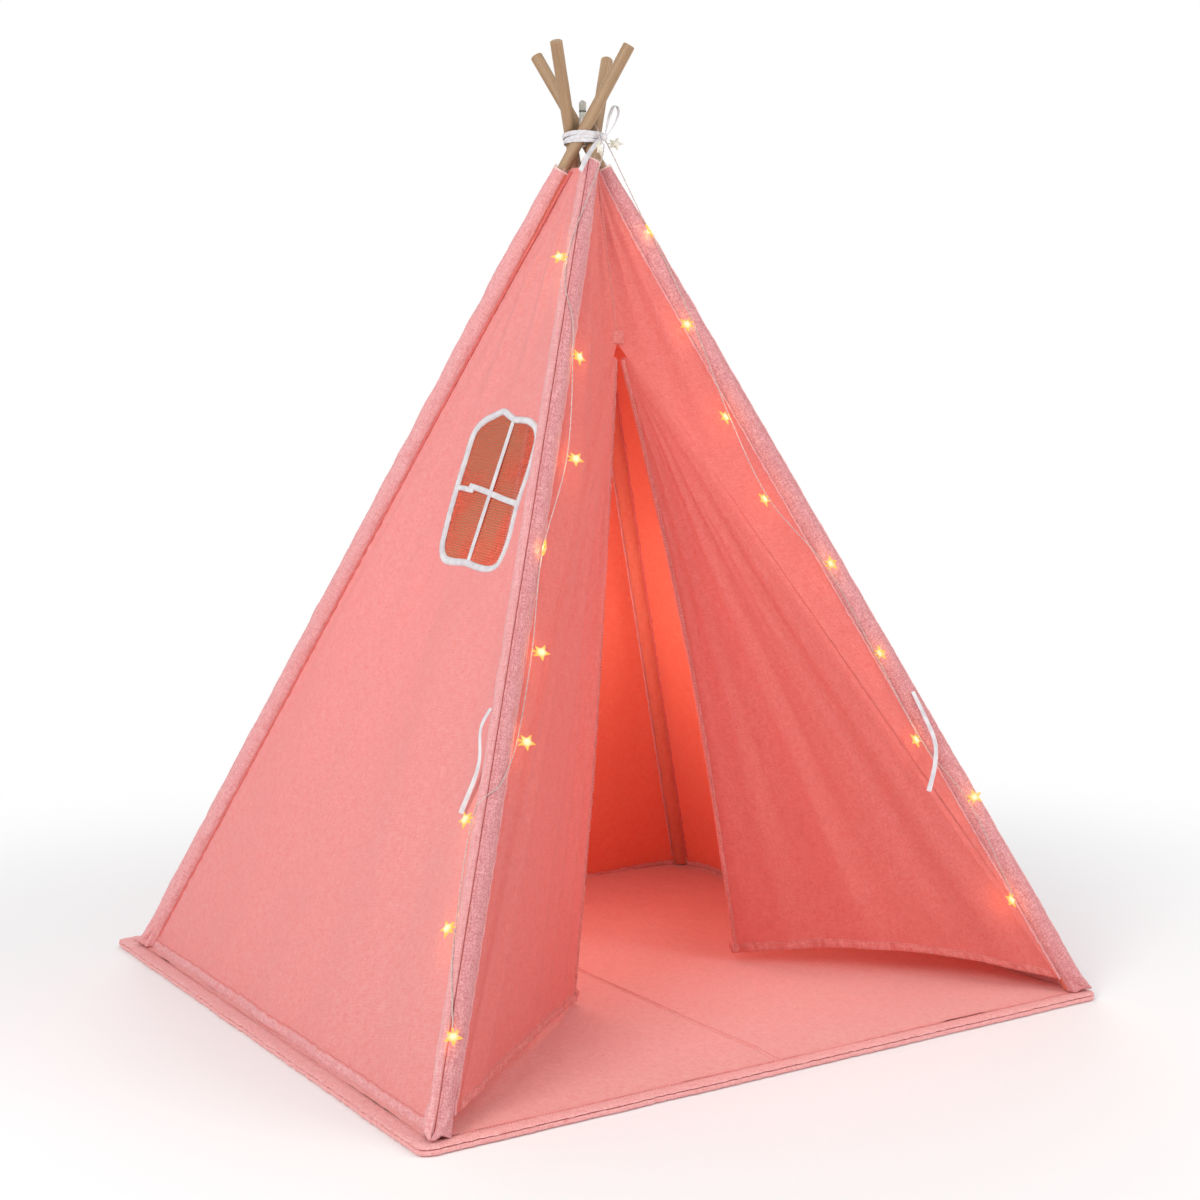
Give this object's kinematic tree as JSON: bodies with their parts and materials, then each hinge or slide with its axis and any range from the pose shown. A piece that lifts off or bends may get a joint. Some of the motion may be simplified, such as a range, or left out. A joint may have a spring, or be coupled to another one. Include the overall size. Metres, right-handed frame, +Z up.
{
  "type": "play tent",
  "caption": "Child's cotton tepee tent on a padded mat, with crossed wooden poles, an open two-flap door, a framed net window, a bow and star string lights.",
  "frame": {"origin": "middle of the mat's underside, which stands on the floor", "axes": "+Z up, -Y towards the door, -X towards the wall with the window"},
  "size_m": [1.2, 1.2, 1.5204],
  "materials": {
    "cotton_light": "salmon pink woven cotton, plain weave, matt",
    "cotton_deep": "coral woven cotton, plain weave, matt",
    "white_tape": "white woven tape, matt",
    "net": "fine see-through net",
    "wood": "pale turned wood, sanded, satin",
    "metal": "plain drawn tube and cell cases",
    "rubber": "black rubber, matt",
    "clear": "clear plastic, slightly yellowed",
    "star_light": "thin silver wire with warm-lit clear stars"
  },
  "bodies": {
    "mat": {"mat_base": "cotton_light", "mat_pad": "cotton_light"},
    "apex": {"lashing_turn_lower": "white_tape", "lashing_turn_upper": "white_tape", "lashing_cross_tie": "white_tape", "bow_knot": "white_tape", "bow_loop": "white_tape", "bow_tail": "white_tape", "battery_tube": "clear", "button_cells": "metal", "battery_cap": "clear"},
    "button": {"battery_button": "clear"},
    "left_frame": {"pole_front_left_section_1": "wood", "pole_front_left_section_2": "wood", "pole_front_left_section_3": "wood", "ferrule_front_left_1": "metal", "ferrule_front_left_2": "metal", "foot_cap_front_left": "rubber", "sleeve_front_left": "cotton_deep", "pole_back_left_section_1": "wood", "pole_back_left_section_2": "wood", "pole_back_left_section_3": "wood", "ferrule_back_left_1": "metal", "ferrule_back_left_2": "metal", "foot_cap_back_left": "rubber", "sleeve_back_left": "cotton_deep", "left_wall": "cotton_light", "window_net": "net", "window_trim": "white_tape", "window_bars": "white_tape", "back_wall_left": "cotton_deep", "front_panel_left": "cotton_deep", "slit_patch": "cotton_deep", "tie_ribbon_left": "white_tape", "light_string_left": "star_light"},
    "right_frame": {"pole_front_right_section_1": "wood", "pole_front_right_section_2": "wood", "pole_front_right_section_3": "wood", "ferrule_front_right_1": "metal", "ferrule_front_right_2": "metal", "foot_cap_front_right": "rubber", "sleeve_front_right": "cotton_deep", "pole_back_right_section_1": "wood", "pole_back_right_section_2": "wood", "pole_back_right_section_3": "wood", "ferrule_back_right_1": "metal", "ferrule_back_right_2": "metal", "foot_cap_back_right": "rubber", "sleeve_back_right": "cotton_deep", "right_wall": "cotton_deep", "back_wall_right": "cotton_deep", "front_panel_right": "cotton_deep", "tie_ribbon_right": "white_tape", "light_string_right": "star_light"},
    "door_left": {"door_flap_left": "cotton_deep", "flap_binding_left": "cotton_deep", "flap_toggle_left": "white_tape"},
    "door_right": {"door_flap_right": "cotton_deep", "flap_binding_right": "cotton_deep", "flap_toggle_right": "white_tape"}
  },
  "joints": [
    {"name": "apex_lift", "type": "slide", "parent": "mat", "child": "apex", "axis": [0, 0, 1], "range_m": [0, 0.19]},
    {"name": "left_frame_swing", "type": "hinge", "parent": "apex", "child": "left_frame", "pos_m": [0.008, -0.023, 1.3753], "axis": [0, -1, 0], "range_deg": [0, 18]},
    {"name": "tent_fold", "type": "hinge", "parent": "left_frame", "child": "right_frame", "pos_m": [0.008, -0.023, 1.3753], "axis": [0, -1, 0], "range_deg": [-35.4, 0], "deforming": ["back_wall_left", "back_wall_right", "front_panel_left", "front_panel_right", "slit_patch", "door_flap_left", "door_flap_right", "flap_binding_left", "flap_binding_right", "flap_toggle_left", "flap_toggle_right", "light_string_left", "light_string_right"]},
    {"name": "door_left_swing", "type": "hinge", "parent": "left_frame", "child": "door_left", "pos_m": [0.01768, -0.10453, 1.0433], "axis": [-0.442, -0.3708, -0.8168], "range_deg": [0, 38.8]},
    {"name": "door_right_swing", "type": "hinge", "parent": "right_frame", "child": "door_right", "pos_m": [0.01928, -0.10453, 1.0433], "axis": [-0.4285, 0.3733, 0.8228], "range_deg": [0, 50]},
    {"name": "button_press", "type": "slide", "parent": "apex", "child": "button", "axis": [0, 0, -1], "range_m": [0, 0.001], "stiffness_N_per_m": 400}
  ],
  "couplings": [
    {"joint": "apex_lift", "follows": "tent_fold", "m_per_rad": -0.295},
    {"joint": "left_frame_swing", "follows": "tent_fold", "ratio": -0.5}
  ]
}
